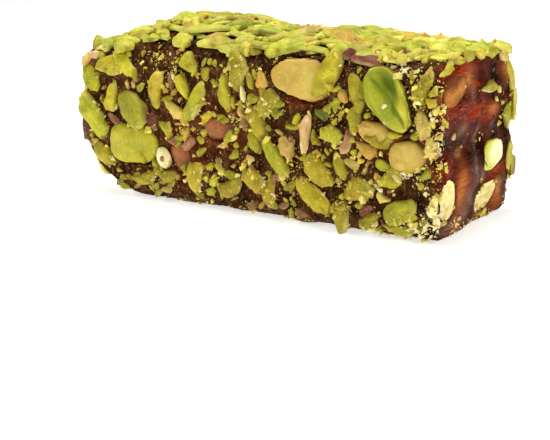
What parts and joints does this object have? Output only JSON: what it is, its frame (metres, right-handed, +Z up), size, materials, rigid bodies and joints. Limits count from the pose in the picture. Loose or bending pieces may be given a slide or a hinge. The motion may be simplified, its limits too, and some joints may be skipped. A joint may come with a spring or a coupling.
{
  "type": "turkish delight bar",
  "caption": "Long bar of dark fruit jelly turkish delight rolled in slivered pistachios, with whole kernels set in its sides and showing in the knife-cut end.",
  "frame": {"origin": "centre of the bar's underside, on the surface that it lies on", "axes": "+X along the bar towards its knife-cut end, +Z up, -Y towards the side that shows best"},
  "size_m": [0.092, 0.0388, 0.0409],
  "materials": {
    "jelly": "sticky dark purple-brown fruit jelly, with slivered pistachio fused over it",
    "pistachio_green": "matte lime and olive green nut flesh",
    "pistachio_tan": "matte tan yellow nut with thin skin",
    "pistachio_amber": "nut under a thin film of glossy amber jelly",
    "pistachio_cut": "pale cream green nut, cut across"
  },
  "bodies": {
    "root": {"coated_jelly": "jelly", "kernel_front_half_left": "pistachio_green", "kernel_front_amber_low": "pistachio_amber", "kernel_front_amber_mid": "pistachio_amber", "kernel_front_tan_large": "pistachio_tan", "kernel_front_green_half": "pistachio_green", "kernel_front_tan_slim": "pistachio_tan", "kernel_front_tan_round": "pistachio_tan", "kernel_cut_amber": "pistachio_amber", "kernel_cut_pale": "pistachio_cut", "kernel_cut_corner": "pistachio_cut", "kernel_cut_long": "pistachio_cut", "kernel_top_half": "pistachio_green", "kernel_back_half": "pistachio_green", "kernel_back_round": "pistachio_tan", "kernel_left_half": "pistachio_green"}
  },
  "joints": []
}
